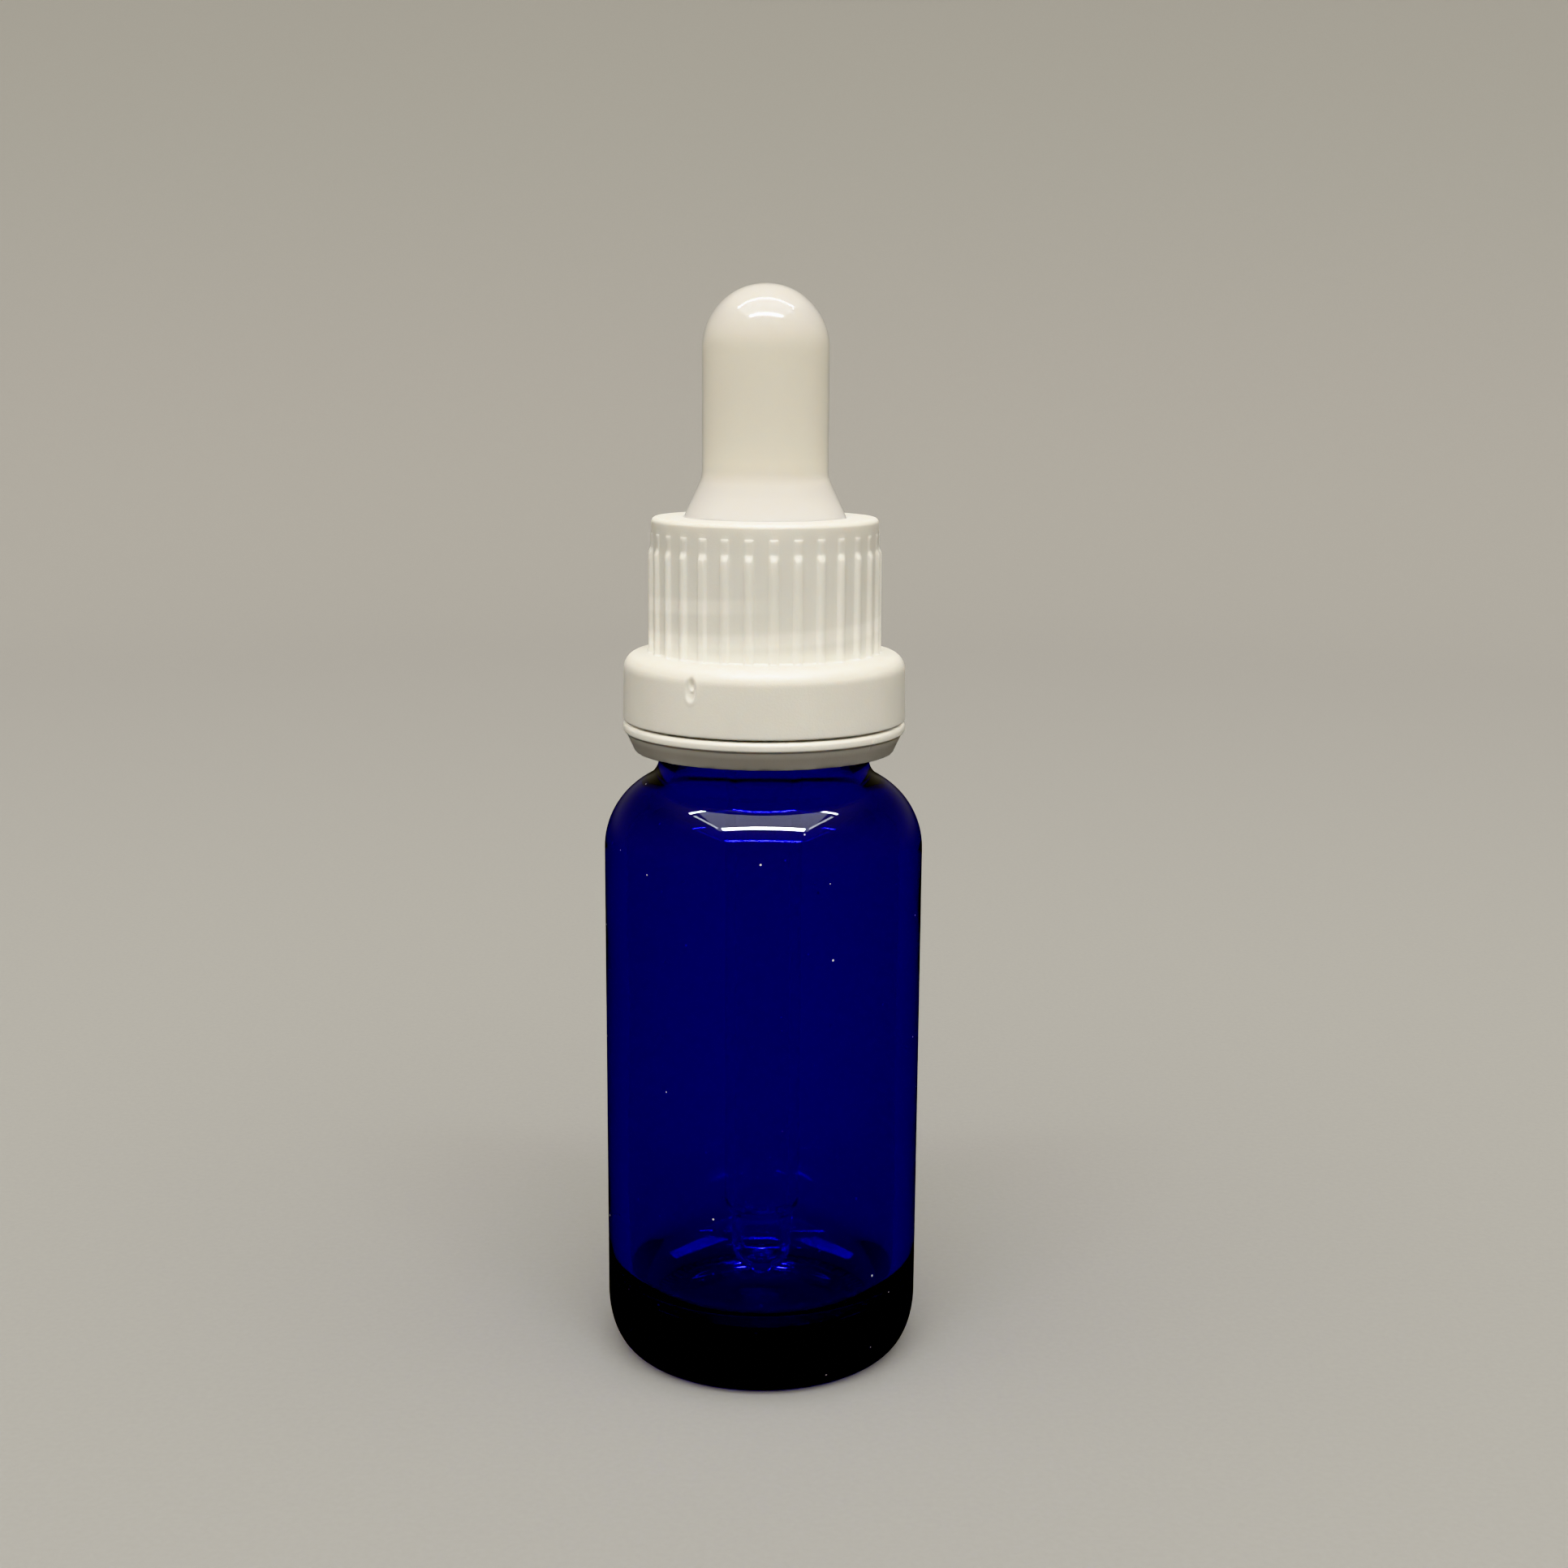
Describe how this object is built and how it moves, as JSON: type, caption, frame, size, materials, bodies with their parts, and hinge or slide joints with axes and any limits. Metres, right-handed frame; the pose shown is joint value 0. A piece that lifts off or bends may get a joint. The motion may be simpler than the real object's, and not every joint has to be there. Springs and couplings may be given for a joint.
{
  "type": "dropper bottle",
  "caption": "Cobalt blue glass bottle with a ribbed white screw cap, a tamper band, a soft squeeze bulb and a clear glass pipette that lifts out to dose drops of liquid.",
  "frame": {"origin": "centre of the base, on the surface that the bottle stands on", "axes": "+Z along the bottle's axis, from the base towards the bulb; +X and +Y square to it, with -Y towards the picture's camera"},
  "size_m": [0.0288, 0.0288, 0.0971],
  "materials": {
    "cobalt_glass": "polished, deep blue",
    "cap_plastic": "satin moulded, warm white",
    "band_plastic": "satin moulded, warm white",
    "bulb_rubber": "smooth, milky white, slightly translucent",
    "clear_glass": "polished, clear"
  },
  "bodies": {
    "bottle": {"glass_bottle": "cobalt_glass"},
    "band": {"tamper_band": "band_plastic"},
    "dropper": {"glass_pipette": "clear_glass"},
    "cap": {"screw_cap": "cap_plastic"},
    "bulb": {"dropper_bulb": "bulb_rubber"}
  },
  "joints": [
    {"name": "cap_turn", "type": "hinge", "parent": "dropper", "child": "cap", "pos_m": [0, 0, 0.068], "axis": [0, 0, 1], "range_deg": [0, 8640]},
    {"name": "dropper_lift", "type": "slide", "parent": "bottle", "child": "dropper", "axis": [0, 0, 1], "range_m": [0, 0.072]},
    {"name": "bulb_press", "type": "slide", "parent": "dropper", "child": "bulb", "axis": [0, 0, -1], "range_m": [0, 0.006], "stiffness_N_per_m": 400, "deforming": ["dropper_bulb"]},
    {"name": "band_turn", "type": "hinge", "parent": "bottle", "child": "band", "pos_m": [0, 0, 0.0575], "axis": [0, 0, 1], "continuous": true}
  ],
  "couplings": [
    {"joint": "dropper_lift", "follows": "cap_turn", "m_per_rad": 0.00047746}
  ]
}
